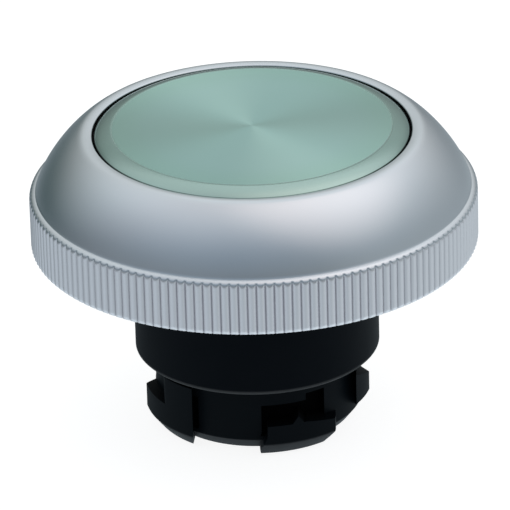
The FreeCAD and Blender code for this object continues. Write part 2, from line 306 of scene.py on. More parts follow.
def roundedLine(corners, arcSteps=6, support=0.04):
    # each corner is (radius, height, fillet); the line goes straight between fillets, each fillet
    # is a circular arc tangent to both sides, and a point stands close to each end of a straight
    straightest, longestReach = 1.5, 0.49      # half angle in radians, share of a side
    corners = [np.array(c, float) for c in corners]
    line = []
    for before, here, after in zip(corners[:-2], corners[1:-1], corners[2:]):
        toBefore, toAfter = before[:2] - here[:2], after[:2] - here[:2]
        lengthBefore, lengthAfter = np.hypot(*toBefore), np.hypot(*toAfter)
        toBefore, toAfter = toBefore / lengthBefore, toAfter / lengthAfter
        half = math.acos(np.clip(toBefore @ toAfter, -1, 1)) / 2
        fillet = here[2]
        if fillet <= 0 or half > straightest:
            line.append(here[:2][None])
            continue
        reach = min(fillet / math.tan(half), longestReach * min(lengthBefore, lengthAfter))
        fillet = reach * math.tan(half)
        middle = toBefore + toAfter
        centre = here[:2] + middle / np.hypot(*middle) * fillet / math.sin(half)
        first, last = here[:2] + toBefore * reach - centre, here[:2] + toAfter * reach - centre
        start = math.atan2(first[1], first[0])
        turn = (math.atan2(last[1], last[0]) - start + math.pi) % (2 * math.pi) - math.pi
        angles = start + turn * np.linspace(0, 1, arcSteps + 1)
        arc = centre + fillet * np.stack([np.cos(angles), np.sin(angles)], -1)
        parts = [arc]
        if lengthBefore > 2 * reach + 2 * support:
            parts.insert(0, (here[:2] + toBefore * (reach + support))[None])
        if lengthAfter > 2 * reach + 2 * support:
            parts.append((here[:2] + toAfter * (reach + support))[None])
        line.append(np.concatenate(parts))
    return np.concatenate([corners[0][None, :2], *line, corners[-1][None, :2]])


def closedRounded(corners, arcSteps=6, support=0.04):
    # the same for a closed outline: it starts and ends at the middle of its last side
    middle = [(corners[-1][0] + corners[0][0]) / 2, (corners[-1][1] + corners[0][1]) / 2, 0]
    return roundedLine([middle, *corners, middle], arcSteps, support)[:-1]


def turnedPoints(profile, columns):
    # a profile of (radius, height) in mm carried once round the push axis, clockwise from above
    angle = np.linspace(0, 2 * math.pi, columns, endpoint=False)[None, :]
    radius, height = profile[:, :1], profile[:, 1:]
    x, y = radius * np.sin(angle), -radius * np.cos(angle)
    return np.stack([x, y, height + 0 * angle], -1) * mm


def bezierLine(poles, count):
    # a cubic curve: each pole weighted by its Bernstein polynomial of the parameter
    t = np.linspace(0, 1, count)[:, None]
    poles = np.array(poles, float)
    return ((1 - t) ** 3 * poles[0] + 3 * (1 - t) ** 2 * t * poles[1]
            + 3 * (1 - t) * t ** 2 * poles[2] + t ** 3 * poles[3])


# front bezel: one turned shell, its rim grooved by a straight knurl; sizes in mm

bezel = {
    "radius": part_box("front_bezel")[1].x / mm,
    "ridges": 160,
    "columnsPerRidge": 8,
    "grooveDepth": 0.22,
    "grooveSharpness": 2.6,   # higher makes wider ridges and narrower grooves
    "bottomChamfer": 0.12,
    "bottomFlat": 0.5,        # width of the rim's underside beside the chamfer
    "wallRows": (0.35, 1.6, 3.2),
    "rimTop": 5.0,
    "rimRounding": 0.6,
    "rimTurn": 86,            # degrees that the rounded edge turns through
    "domeFoot": (19.44, 5.0),
    "domePoles": [(18.905, 6.61), (17.15, 9.14)],
    "domeTop": (15.32, 10.28),
    "lipTop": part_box("front_bezel")[1].z / mm,
    "lipCrown": 0.035,        # that the lip's edges lie below its middle
    "lipOuter": 15.1,
    "lipInner": 14.42,
    "opening": 14.22,
    "threadBore": 17.4,
    "threadTop": 4.0,
    "chamber": 16.6,
    "chamberBevel": 0.8,
    "shoulder": 8.3,
    "rows": {"edge": 20, "dome": 21, "lip": 6},
    "domeColours": ((0.78, 0.805, 0.85), (0.81, 0.83, 0.875)),
    "rimColours": ((0.93, 0.895, 0.925), (0.955, 0.92, 0.95)),
    # the next colour is painted shade in the knurl's grooves
    "grooveShadingColour": (0.40, 0.40, 0.43),
    "grooveShade": 0.55,
    "roughness": 0.20,
    "rimRoughness": 0.12,     # added below the rim's edge
    "turnedLine": 0.16,
}


def makeSatinAluminium():
    # satin metal, a little brighter in clouds, with fine turned lines; the knurl's grooves are darkened with
    # painted shade
    material, shader, start = newMaterial("satinAluminium")
    place = placeOf(start)
    groove = attributeOf(start, "groove")
    cloud = place.noise(260, 3)
    grain = place.noise(9000, 2)
    scratch = place.scaled((1, 1, 14)).noise(1500, 3)
    rimTop = bezel["rimTop"]
    onRim = 1 - place.dot((0, 0, 1)).step((rimTop - 0.45) * mm, (rimTop - 0.3) * mm)
    colour = onRim.mix(cloud.mix(*bezel["domeColours"]), cloud.mix(*bezel["rimColours"]))
    # painted shade: the deeper in a groove, the darker
    shade = groove.step(0.4, 1.0) * bezel["grooveShade"]
    colour = shade.mix(colour, bezel["grooveShadingColour"])
    rough = bezel["roughness"] + 0.04 * cloud + 0.04 * scratch + bezel["rimRoughness"] * onRim
    lines = turnedLines(radiusOf(place), bezel["turnedLine"]) * (1 - onRim)
    normal = start.bump(grain * 0.3 + scratch * 0.35 + lines * 0.06, 0.06, 0.02 * mm)
    feed(start, shader, Base_Color=colour, Metallic=1.0, Roughness=rough, Normal=normal)
    return material


def bezelProfile():
    # up the rim, over its rounded edge, the dome and the lip, down the opening and back along the
    # chamber; the lip is a parabola; returned with the number of rows that the knurl may cut
    rim, chamfer, rounding = bezel["radius"], bezel["bottomChamfer"], bezel["rimRounding"]
    rows, lipTop, opening = bezel["rows"], bezel["lipTop"], bezel["opening"]
    chamber, shoulder, bevel = bezel["chamber"], bezel["shoulder"], bezel["chamberBevel"]
    roundLow = bezel["rimTop"] - rounding
    heights = np.array([0, chamfer, *bezel["wallRows"], roundLow - 0.4, roundLow - 0.04])
    wall = np.stack([rim - np.clip(chamfer - heights, 0, chamfer), heights], -1)
    turn = np.linspace(0, math.radians(bezel["rimTurn"]), rows["edge"])
    edge = np.stack([rim - rounding * (1 - np.cos(turn)), roundLow + rounding * np.sin(turn)], -1)
    dome = bezierLine([bezel["domeFoot"], *bezel["domePoles"], bezel["domeTop"]], rows["dome"])
    across = np.linspace(bezel["lipOuter"], bezel["lipInner"], rows["lip"])
    middle = (across[0] + across[-1]) / 2
    crown = lipTop - bezel["lipCrown"] * ((across - middle) / (across[0] - middle)) ** 2
    hidden = roundedLine([
        (across[-1], crown[-1], 0),
        (opening, lipTop - 0.06, 0.12),
        (opening, shoulder, 0.15),
        (chamber - bevel, shoulder, 0),
        (chamber, shoulder - bevel, 0),
        (chamber, bezel["threadTop"], 0),
        (bezel["threadBore"], bezel["threadTop"], 0),
        (bezel["threadBore"], 0, 0.08),
        (rim - bezel["bottomFlat"], 0, 0),
    ], 3)[1:]
    profile = np.concatenate([wall, edge, dome, np.stack([across, crown], -1), hidden])
    return profile, len(wall) + len(edge)


def makeBezel():
    # below the dome the radius is the smaller of the profile's and the grooves', so that each
    # groove runs out where the rounded edge crosses its floor; a groove is a power of a zigzag
    profile, knurled = bezelProfile()
    points = turnedPoints(profile, bezel["ridges"] * bezel["columnsPerRidge"])
    alongRidge = (np.arange(points.shape[1]) / bezel["columnsPerRidge"]) % 1
    wave = np.abs(2 * alongRidge - 1) ** bezel["grooveSharpness"]
    radius = profile[:, :1]
    sunk = np.clip(radius - (bezel["radius"] - bezel["grooveDepth"] * wave[None]), 0, None)
    sunk[knurled:] = 0
    points[:, :, :2] *= (1 - sunk / radius)[:, :, None]
    mesh = gridMesh("frontBezel", points, True, groove=sunk / bezel["grooveDepth"])
    addPiece("frontBezel", mesh, makeSatinAluminium(), "housing", "satin_aluminium", "front_bezel",
             sharp=50)


makeBezel()


# lens: plateau, fine groove, rounded shoulder, skirt; sizes in mm

lens = {
    "radius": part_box("lens_cap")[1].x / mm,
    "top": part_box("lens_cap")[1].z / mm,
    "bottom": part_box("lens_cap")[0].z / mm,
    "plateau": 12.45,
    "plateauRows": (0, 0.5, 3, 6, 9, 11.5),
    "groove": 0.02,           # depth of the fine groove round the plateau
    "shoulderPoles": [(13.0, 0.07), (13.64, 0.3)],    # radius, and depth below the top
    "shoulderRows": 14,
    "skirtBore": 12.65,
    "underside": 9.6,
    "crown": 14.0,            # half the curvature of the turned plate, 1/m
    "columns": 360,
    "faceColours": ((0.495, 0.725, 0.675), (0.515, 0.745, 0.69)),
    "edgeColour": (0.475, 0.725, 0.63),
    "edgeFrom": 8.5,
    "lineColour": (0.34, 0.55, 0.50),
    "turnedLine": 0.14,
    # the next colour is a painted highlight on the hairline groove round the plateau
    "grooveShadingColour": (0.62, 0.78, 0.72),
    "shoulderColour": (0.48, 0.63, 0.58),
    # the next three colours are painted shade: the lens's edge in the gap to the bezel, and the darker copy
    # standing for the unlit wall below
    "gapShadeColour": (0.10, 0.14, 0.12),
    "shadedWallColours": ((0.28, 0.40, 0.36), (0.32, 0.45, 0.41)),
    "gapShadeWallColour": (0.08, 0.11, 0.10),
    "shoulderRoughness": 0.17,
    "faceRoughness": 0.26,    # added on the plateau
    "slant": (0.37, 0.54),    # facing weights where the look turns from bright to dark
}


def makeLensGreen():
    # tinted plastic over a turned plate: the plate's fine rings stretch each highlight into a
    # wedge, so the sheen is rougher across the rings than along them; the shoulder is smoother
    material, shader, start = newMaterial("lensGreen")
    place = placeOf(start)
    radius = radiusOf(place)
    cloud = place.noise(160, 2)
    lines = turnedLines(radius, lens["turnedLine"])
    plateau, rim = lens["plateau"], lens["radius"]
    onPlateau = 1 - radius.step((plateau - 0.05) * mm, (plateau + 0.1) * mm)
    towardsEdge = radius.step(lens["edgeFrom"] * mm, plateau * mm)
    face = cloud.mix(*lens["faceColours"])
    face = (towardsEdge * 0.6).mix(face, lens["edgeColour"])
    face = (lines * 0.05 + 0.05).mix(face, lens["lineColour"])
    # painted highlight: a paler hairline along the plateau's fine groove
    hairline = radius.step((plateau - 0.16) * mm, (plateau - 0.06) * mm)
    hairline = hairline * (1 - radius.step((plateau + 0.06) * mm, (plateau + 0.2) * mm))
    # painted shade: the outermost edge and skirt, down in the gap to the bezel, turn dark
    outer = radius.step((rim - 0.08) * mm, (rim - 0.02) * mm)
    colour = onPlateau.mix(outer.mix(lens["shoulderColour"], lens["gapShadeColour"]), face)
    colour = (hairline * 0.12).mix(colour, lens["grooveShadingColour"])
    # the plate is slightly crowned, so its normals lean out by a few degrees at the edge
    onPlate = radius.least(plateau * mm)
    normal = start.bump(lines * onPlateau * 4e-7 - onPlate * onPlate * lens["crown"], 1.0, 1.0)
    rough = lens["shoulderRoughness"] + lens["faceRoughness"] * onPlateau
    feed(start, shader, Base_Color=colour, Metallic=0.92, Roughness=rough, Anisotropic=0.95,
         Anisotropic_Rotation=0.25, Coat_Weight=onPlateau * 0.12, Coat_Roughness=0.08, Normal=normal)

    # the clear shoulder shows the bright plate when looked into, and at a slant a darker copy of the lens, painted
    # shade standing for the unlit wall below, darkest at the edge in the gap
    shadedWallColour = outer.mix(cloud.mix(*lens["shadedWallColours"]), lens["gapShadeWallColour"])
    wall = start.node("ShaderNodeBsdfPrincipled", {},
                      {"Base Color": shadedWallColour, "Metallic": 0.92, "Roughness": 0.2})
    facing = start.node("ShaderNodeLayerWeight", {}, {"Blend": 0.5}, "Facing")
    slanted = facing.step(*lens["slant"]) * (1 - onPlateau)
    plate = Wire(start.tree, shader.outputs[0])
    both = start.node("ShaderNodeMixShader", {}, {0: slanted, 1: plate, 2: wall})
    output = next(n for n in start.tree.nodes if n.type == "OUTPUT_MATERIAL")
    start.tree.links.new(both.socket, output.inputs["Surface"])
    return material


def makeLens():
    # profile from the centre of the plateau outwards, down the skirt and back under the plate
    top, edge, rim = lens["top"], lens["plateau"], lens["radius"]
    bottom, bore, underside = lens["bottom"], lens["skirtBore"], lens["underside"]
    plateau = [(radius, top) for radius in (*lens["plateauRows"], edge - 0.12, edge - 0.08)]
    groove = [(edge + side * 0.03, top - lens["groove"]) for side in (-1, 1)]
    poles = [(radius, top - depth) for radius, depth in lens["shoulderPoles"]]
    shoulder = bezierLine([(edge + 0.08, top), *poles, (rim - 0.12, top - 0.52)],
                          lens["shoulderRows"])
    skirt = roundedLine([
        (rim - 0.10, top - 0.535, 0),
        (rim, top - 0.62, 0.06),
        (rim, bottom, 0.1),
        (bore, bottom, 0.1),
        (bore, underside, 0.2),
        (0, underside, 0),
    ], 4)
    profile = np.concatenate([plateau, groove, shoulder, skirt])
    mesh = gridMesh("lensCap", turnedPoints(profile, lens["columns"]), False)
    addPiece("lensCap", mesh, makeLensGreen(), "button", "green_lens", "lens_cap")


makeLens()


# black collar: the sleeve through the panel, its floor and upright rim; sizes in mm

collar = {
    "radius": 11.0,
    "bottom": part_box("mounting_collar")[0].z / mm,
    "top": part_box("mounting_collar")[1].z / mm,
    "chamfer": 0.22,
    "bore": 9.35,
    "boreTop": -0.15,
    "well": 8.3,
    "boss": 11.4,
    "floorLow": 0.7,
    "floorTop": 1.6,
    "rimRadius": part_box("mounting_collar")[1].x / mm,
    "rimBore": 16.6,
    "columns": 300,
    "colours": ((0.0009, 0.0021, 0.0038), (0.0021, 0.0035, 0.0054)),
    # the next colour is a painted sheen on the chamfer at the sleeve's foot
    "edgeSheenColour": (0.034, 0.038, 0.041),
}


def makeBlackPlastic(name, colours, edgeSheenColour):
    # moulded plastic: faint clouds, fine grain, painted shade that turns recesses dull black, and a painted sheen
    # that makes chamfered edges paler, as where light from below catches them
    material, shader, start = newMaterial(name)
    place = placeOf(start)
    cloud = place.noise(420, 4)
    grain = place.noise(5200, 2)
    recess, wear = attributeOf(start, "recess"), attributeOf(start, "wear")
    # painted sheen: chamfered edges turn paler, as where light from below catches them
    edgeSheenShare = wear * (0.75 + 0.5 * place.noise(1700, 3))
    colour = edgeSheenShare.mix(cloud.mix(*colours), edgeSheenColour)
    # painted shade: the deeper in a recess, the nearer to black
    colour = recess.mix(colour, (0.0004, 0.0004, 0.0005))
    feed(start, shader, Base_Color=colour, Roughness=0.44 + 0.12 * cloud + 0.4 * recess,
         Specular_IOR_Level=0.05, Normal=start.bump(grain + cloud * 0.6, 0.16, 0.02 * mm))
    return material


def makeCollar():
    outer, bottom, chamfer = collar["radius"], collar["bottom"], collar["chamfer"]
    profile = closedRounded([
        (collar["bore"], bottom, 0.06),
        (outer - chamfer, bottom, 0.04),
        (outer, bottom + chamfer, 0.08),
        (outer, bottom + 2 * chamfer, 0),
        (outer, 0, 0),
        (collar["boss"], 0, 0),
        (collar["boss"], collar["floorLow"], 0),
        (collar["rimRadius"], collar["floorLow"], 0.1),
        (collar["rimRadius"], collar["top"], 0.1),
        (collar["rimBore"], collar["top"], 0.1),
        (collar["rimBore"], collar["floorTop"], 0.1),
        (collar["well"], collar["floorTop"], 0.1),
        (collar["well"], collar["boreTop"], 0),
        (collar["bore"], collar["boreTop"], 0),
    ], 4)
    radius, height = profile[:, 0], profile[:, 1]
    # the chamfer at the sleeve's foot gets the painted sheen
    onEdge = (radius > outer - chamfer - 0.02) & (height < bottom + chamfer + 0.08)
    mesh = gridMesh("mountingCollar", turnedPoints(profile, collar["columns"]), True,
                    recess=np.zeros(1), wear=onEdge[:, None])
    material = makeBlackPlastic("collarPlastic", collar["colours"], collar["edgeSheenColour"])
    addPiece("mountingCollar", mesh, material, "housing", "black_plastic", "mounting_collar",
             sharp=60)


makeCollar()


# bayonet neck: a tube whose outer side steps out to latch feet, stop blocks and a ramp lug, and
# in to pockets; sizes in mm, heights from the panel's face

neck = {
    "radius": 9.3,
    "footRadius": 10.25,
    "pocketRadius": 8.45,
    "reliefRadius": 8.95,
    "bore": 7.7,
    "socketBore": 7.9,
    "socketTop": -12.7,
    "top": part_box("bayonet_body")[1].z / mm,
    "bottom": -16.85,
    "webTop": -6.0,
    "webBottom": -7.5,
    "bushSeat": 6.35,
    "latchTurns": (0, 180),   # degrees, where the latch feet are
    "stopTurns": (0, 190),    # where the stop feet are, from the first one
    "walls": {                # flat side walls: distance from the Y axis
        "latchLow": 0.65,
        "latchFall": 4.2,
        "latchHigh": 6.8,
        "pocketLow": 0.2,
        "pocketStep": 4.18,
        "pocketHigh": 5.76,
        "stopSide": -5.96,
        "slotSide": -5.48,
        "lugLow": 8.72,
    },
    "ends": {                 # walls at the feet's radius: degrees from the front
        "stopLow": -81.7,
        "stopHigh": -55.5,
        "lugHigh": 77,
    },
    "latchTop": -14.0,
    "latchFall": 0.6,         # that the foot's top falls from latchFall's wall to latchHigh's
    "latchFade": 1.5,         # height over which that fall dies out
    "latchReach": 60,         # degrees from the foot past which nothing of it is left
    "pip": {"place": 3.45, "half": 0.5, "height": 0.7},
    "pocketTop": -12.45,
    "pocketTallTop": -11.8,
    "slot": (-15.4, -12.3),
    "stopTop": -11.0,
    "stopFootTop": -13.68,
    "reliefFrom": -125,       # degrees, behind the first stop foot
    "reliefHeights": (-13.4, -9.8),
    "lugTop": -11.5,
    "lugFall": 1.25,
    "lugFadeTop": -10.4,
    "lugFade": 2.4,
    "lugBottom": (-14.5, -15.6),
    "parallelTo": 70,         # degrees from the Y axis, past which walls turn radial
    "slants": {               # low ends of the latch feet, in degrees round the neck
        "latchLow": {"from": -15.1, "over": 1.3, "within": 9, "by": 4.2},
        "latchHigh": {"from": -15.95, "over": 1.2, "within": 20, "by": 9.5},
    },
    "underNeck": [(9.3, -15.76), (9.295, -15.82), (9.24, -15.9), (8.9, -16.34), (8.56, -16.78),
                  (8.5, -16.84), (8.44, -16.85), (8.42, -16.85), (8.4, -16.85), (8.3, -16.85),
                  (8.0, -16.85)],
    "underFoot": [(10.25, -15.8), (10.25, -15.9), (10.2, -16.0), (9.8, -16.52), (9.38, -17.06),
                  (9.3, -17.14), (9.22, -17.17), (8.6, -17.17), (8.5, -17.1), (8.46, -16.88),
                  (8.0, -16.85)],
    # the chamfer's rings underneath get a painted sheen, paler, as where light from below catches them
    "edgeSheenRings": (1, 6),      # of the rings underneath, those on the chamfer
    "wear": 0.8,
    "soft": 0.10,             # width of a rounded step
    "columnStep": 1.6,        # degrees
    "levelStep": 0.22,
    "levelRange": (-15.7, -10.3),
    "upperLevels": (-3.5, -7.0, -9.5),
    "colours": ((0.0012, 0.0025, 0.0040), (0.0028, 0.0044, 0.0060)),
    # the next colour is the painted sheen on the chamfer
    "edgeSheenColour": (0.026, 0.029, 0.032),
}


def wrapped(degrees):
    # the same direction, between -180 and 180
    return (degrees + 180) % 360 - 180


def leanOf(degrees):
    # side walls are parallel to the Y axis, as the mould opens: a point further out lies at a
    # smaller angle from that axis, by this many degrees between the neck and the feet's radius
    signed = wrapped(degrees)
    folded = np.abs(signed)
    toFront = np.where(folded > 90, -1, 1) * np.sign(signed)
    angle = np.where(folded > 90, 180 - folded, folded)
    last = neck["parallelTo"]
    parallel = np.minimum(angle, last)
    further = np.sin(np.radians(parallel)) * neck["radius"] / neck["footRadius"]
    lean = parallel - np.degrees(np.arcsin(further))
    return toFront * lean * np.clip((90 - angle) / (90 - last), 0, 1)


def neckAngle(x):
    # where a wall at this distance from the Y axis meets the neck
    return math.degrees(math.asin(x / neck["radius"]))


def columnFor(outer):
    # the column whose point at the feet's radius lies at this angle
    columns = np.linspace(-100, 100, 2001)
    return float(np.interp(outer, columns - leanOf(columns), columns))


def neckWalls():
    # the column of each wall, in degrees from the front
    flat = {name: neckAngle(x) for name, x in neck["walls"].items()}
    return flat | {name: columnFor(angle) for name, angle in neck["ends"].items()}


def neckGrid(wall, softAngle):
    # columns and levels that stand close together across each wall and each top
    pip = neck["pip"]
    latch = [wall[name] for name in wall if name.startswith(("latch", "pocket"))]
    latch += [neckAngle(pip["place"] + side * pip["half"]) for side in (-1, 0, 1)]
    stop = [wall[name] for name in wall if name.startswith(("stop", "slot"))]
    places = [wrapped(place + turn) for turn in neck["latchTurns"] for place in latch]
    places += [wrapped(place + turn) for turn in neck["stopTurns"] for place in stop]
    places += [wall["lugLow"], wall["lugHigh"]]
    columns = linesWith(-180, 180, neck["columnStep"], places, softAngle)
    tops = [neck[name] for name in ("latchTop", "pocketTop", "pocketTallTop", "stopTop",
                                    "stopFootTop", "lugTop")]
    tops += [*neck["lugBottom"], *neck["slot"]]
    levels = linesWith(*neck["levelRange"], neck["levelStep"], tops, neck["soft"])[::-1]
    return columns, np.concatenate([[neck["top"], *neck["upperLevels"]], levels])


class NeckSide:
    # the outer side as three arrays over levels and columns: the radius, how much painted shade a
    # point gets for lying in a recess, and how far it drops below its level; each step changes the
    # radius by a smooth share of the way to a new one
    def __init__(self, columns, levels, wall, softAngle):
        self.column, self.level = np.meshgrid(columns, levels)
        self.wall, self.softAngle = wall, softAngle
        self.radius = np.full(self.column.shape, neck["radius"])
        self.recess = np.zeros(self.column.shape)
        self.drop = np.zeros(self.column.shape)

    def across(self, here, low, high):
        return between(here, self.wall[low], self.wall[high], self.softAngle)

    def upTo(self, top):
        return 1 - rise(self.level, top, neck["soft"])

    def over(self, low, high):
        return between(self.level, low, high, neck["soft"])

    def stepTo(self, share, radius):
        self.radius += share * (radius - self.radius)

    def sink(self, share):
        self.stepTo(share, neck["pocketRadius"])
        # a sunk point also gets painted shade, full a third of the way in
        self.recess = np.maximum(self.recess, np.clip(3 * share, 0, 1))

    def addRelief(self):
        # behind the first stop foot the neck steps in, with a slanted lower end
        depth = neck["radius"] - neck["reliefRadius"]
        low, high = neck["reliefHeights"]
        behind = between(self.column, neck["reliefFrom"], self.wall["stopLow"], 3 * self.softAngle)
        slanted = np.clip((self.level - low + depth) / depth, 0, 1) * (self.level < high)
        self.radius -= behind * depth * slanted

    def addLatch(self, turn):
        # a foot, pockets above and beside it, and a top that falls to one side and has a pip
        here = wrapped(self.column - turn)
        latchTop, pocketTop = neck["latchTop"], neck["pocketTop"]
        self.stepTo(self.across(here, "latchLow", "latchHigh") * self.upTo(latchTop),
                    neck["footRadius"])
        low = self.across(here, "pocketLow", "pocketHigh") * self.over(latchTop, pocketTop)
        tall = self.across(here, "pocketStep", "pocketHigh")
        tall = tall * self.over(latchTop, neck["pocketTallTop"])
        beside = self.across(here, "pocketLow", "latchLow") * self.over(neck["slot"][0], pocketTop)
        self.sink(np.maximum(np.maximum(low, tall), beside))
        x = neck["radius"] * np.sin(np.radians(here))
        first, last = neck["walls"]["latchFall"], neck["walls"]["latchHigh"]
        fall = neck["latchFall"] * np.clip((x - first) / (last - first), 0, 1)
        pip = neck["pip"]
        raised = pip["height"] * np.clip(1 - np.abs(x - pip["place"]) / pip["half"], 0, 1)
        fade = np.clip(1 - np.abs(self.level - latchTop) / neck["latchFade"], 0, 1)
        self.drop += fade * (np.abs(here) < neck["latchReach"]) * (fall - raised)

    def addStop(self, turn):
        # a low foot with a block on it, and a slot between the block and the neck
        here = wrapped(self.column - turn)
        foot = self.across(here, "stopLow", "stopSide") * self.upTo(neck["stopFootTop"])
        block = self.across(here, "stopHigh", "stopSide") * self.upTo(neck["stopTop"])
        self.stepTo(np.maximum(foot, block), neck["footRadius"])
        self.sink(self.across(here, "stopSide", "slotSide") * self.over(*neck["slot"]))

    def addLug(self):
        # a ramp: its top falls along its length, and its lower side slants in to the neck
        wall, level, top = self.wall, self.level, neck["lugTop"]
        high, low = neck["lugBottom"]
        lug = self.across(self.column, "lugLow", "lugHigh") * self.upTo(top)
        self.stepTo(lug * np.clip((level - low) / (high - low), 0, 1), neck["footRadius"])
        share = np.clip((self.column - wall["lugLow"]) / (wall["lugHigh"] - wall["lugLow"]), 0, 1)
        share = share * (self.column < wall["lugHigh"] + 8)
        above = np.clip((neck["lugFadeTop"] - level) / (neck["lugFadeTop"] - top), 0, 1)
        below = np.clip(1 - (top - level) / neck["lugFade"], 0, 1)
        self.drop += neck["lugFall"] * share * np.where(level > top, above, below)


def neckUnderside(columns, wall, softAngle):
    # each ring has a place on the neck's section and one on a foot's, and steps between them
    share = np.zeros(len(columns))
    for turns, low, high in (("latchTurns", "latchLow", "latchHigh"),
                             ("stopTurns", "stopLow", "stopSide")):
        for turn in neck[turns]:
            foot = between(wrapped(columns - turn), wall[low], wall[high], softAngle)
            share = np.maximum(share, foot)
    onNeck, onFoot = np.array(neck["underNeck"]), np.array(neck["underFoot"])
    return onNeck[:, None] + share[None, :, None] * (onFoot - onNeck)[:, None]


def makeNeckPoints():
    # rows are levels down the outer side and then rings along the section's underside, bore and
    # web; a point's column is its angle at the neck, and it leans as its radius grows
    softAngle = math.degrees(neck["soft"] / neck["radius"])
    wall = neckWalls()
    columns, levels = neckGrid(wall, softAngle)
    side = NeckSide(columns, levels, wall, softAngle)
    side.addRelief()
    for turn in neck["latchTurns"]:
        side.addLatch(turn)
    for turn in neck["stopTurns"]:
        side.addStop(turn)
    side.addLug()

    under = neckUnderside(columns, wall, softAngle)
    socket, bore, seat, top = neck["socketBore"], neck["bore"], neck["bushSeat"], neck["top"]
    inner = np.array([
        (socket, neck["bottom"] + 0.06),
        (socket, neck["socketTop"]),
        (bore, neck["socketTop"]),
        (bore, neck["webBottom"]),
        (seat, neck["webBottom"]),
        (seat, neck["webTop"]),
        (bore, neck["webTop"]),
        (bore, top - 0.05),
        (bore + 0.05, top),
    ])
    inner = np.broadcast_to(inner[:, None], (len(inner), len(columns), 2))
    radius = np.concatenate([side.radius, under[:, :, 0], inner[:, :, 0]])
    height = np.concatenate([side.level - side.drop, under[:, :, 1], inner[:, :, 1]])
    column = np.broadcast_to(columns, radius.shape)

    slant = np.zeros(radius.shape)
    for turn in neck["latchTurns"]:
        here = wrapped(column - turn)
        for name, s in neck["slants"].items():
            near = np.clip(1 - np.abs(here - wall[name]) / s["within"], 0, 1)
            slant -= s["by"] * np.clip((s["from"] - height) / s["over"], 0, 1) * near
    outside = np.arange(len(radius))[:, None] < len(levels) + len(under)
    angle = column + slant * outside
    outward = (radius - neck["radius"]) / (neck["footRadius"] - neck["radius"])
    angle = np.radians(angle - leanOf(angle) * outward * outside)

    # painted shade in the pockets and slots, and a painted sheen on the chamfer's rings underneath
    recess = np.concatenate([side.recess, np.zeros((len(radius) - len(levels), len(columns)))])
    wear = np.zeros(radius.shape)
    first, last = neck["edgeSheenRings"]
    wear[len(levels) + first:len(levels) + last] = neck["wear"]
    points = np.stack([radius * np.sin(angle), -radius * np.cos(angle), height], -1) * mm
    return points, recess, wear


def makeNeck():
    points, recess, wear = makeNeckPoints()
    mesh = gridMesh("bayonetNeck", points, True, recess=recess, wear=wear)
    material = makeBlackPlastic("neckPlastic", neck["colours"], neck["edgeSheenColour"])
    addPiece("bayonetNeck", mesh, material, "housing", "neck_plastic", "bayonet_body", sharp=32)


makeNeck()


# finishes of the pieces inside, by the record's slot

finishes = {
    "black_rubber": {"colours": ((0.012, 0.012, 0.012), (0.022, 0.022, 0.022)), "rough": 0.7},
    "grey_rubber": {"colours": ((0.05, 0.05, 0.052), (0.08, 0.08, 0.083)), "rough": 0.65},
    "grey_plastic": {"colours": ((0.09, 0.095, 0.1), (0.12, 0.125, 0.13)), "rough": 0.45},
    "stem_plastic": {"colours": ((0.012, 0.012, 0.014), (0.02, 0.02, 0.023)), "rough": 0.4},
    "white_plastic": {"colours": ((0.72, 0.71, 0.66), (0.8, 0.79, 0.75)), "rough": 0.4},
    "milky_plastic": {"colours": ((0.8, 0.8, 0.77), (0.88, 0.88, 0.86)), "rough": 0.35},
    "clear_plastic": {"colours": ((0.75, 0.82, 0.82), (0.85, 0.9, 0.9)), "rough": 0.12},
    "turned_insert": {"colours": ((0.62, 0.68, 0.66), (0.72, 0.77, 0.75)), "rough": 0.3},
    "spring_steel": {"colours": ((0.5, 0.5, 0.52), (0.62, 0.62, 0.64)), "rough": 0.3, "metal": 1.0},
}


def makePlainFinish(name, finish):
    # clouds between two colours, and a fine grain
    material, shader, start = newMaterial(name)
    place = placeOf(start)
    cloud = place.noise(380, 3)
    grain = place.noise(6000, 2)
    feed(start, shader, Base_Color=cloud.mix(*finish["colours"]),
         Metallic=finish.get("metal", 0.0), Roughness=finish["rough"] + 0.1 * cloud,
         Normal=start.bump(grain, 0.2, 0.02 * mm))
    return material


plain = {name: makePlainFinish(name, finish) for name, finish in finishes.items()}


# pieces inside the head; corners are (radius, height) in mm

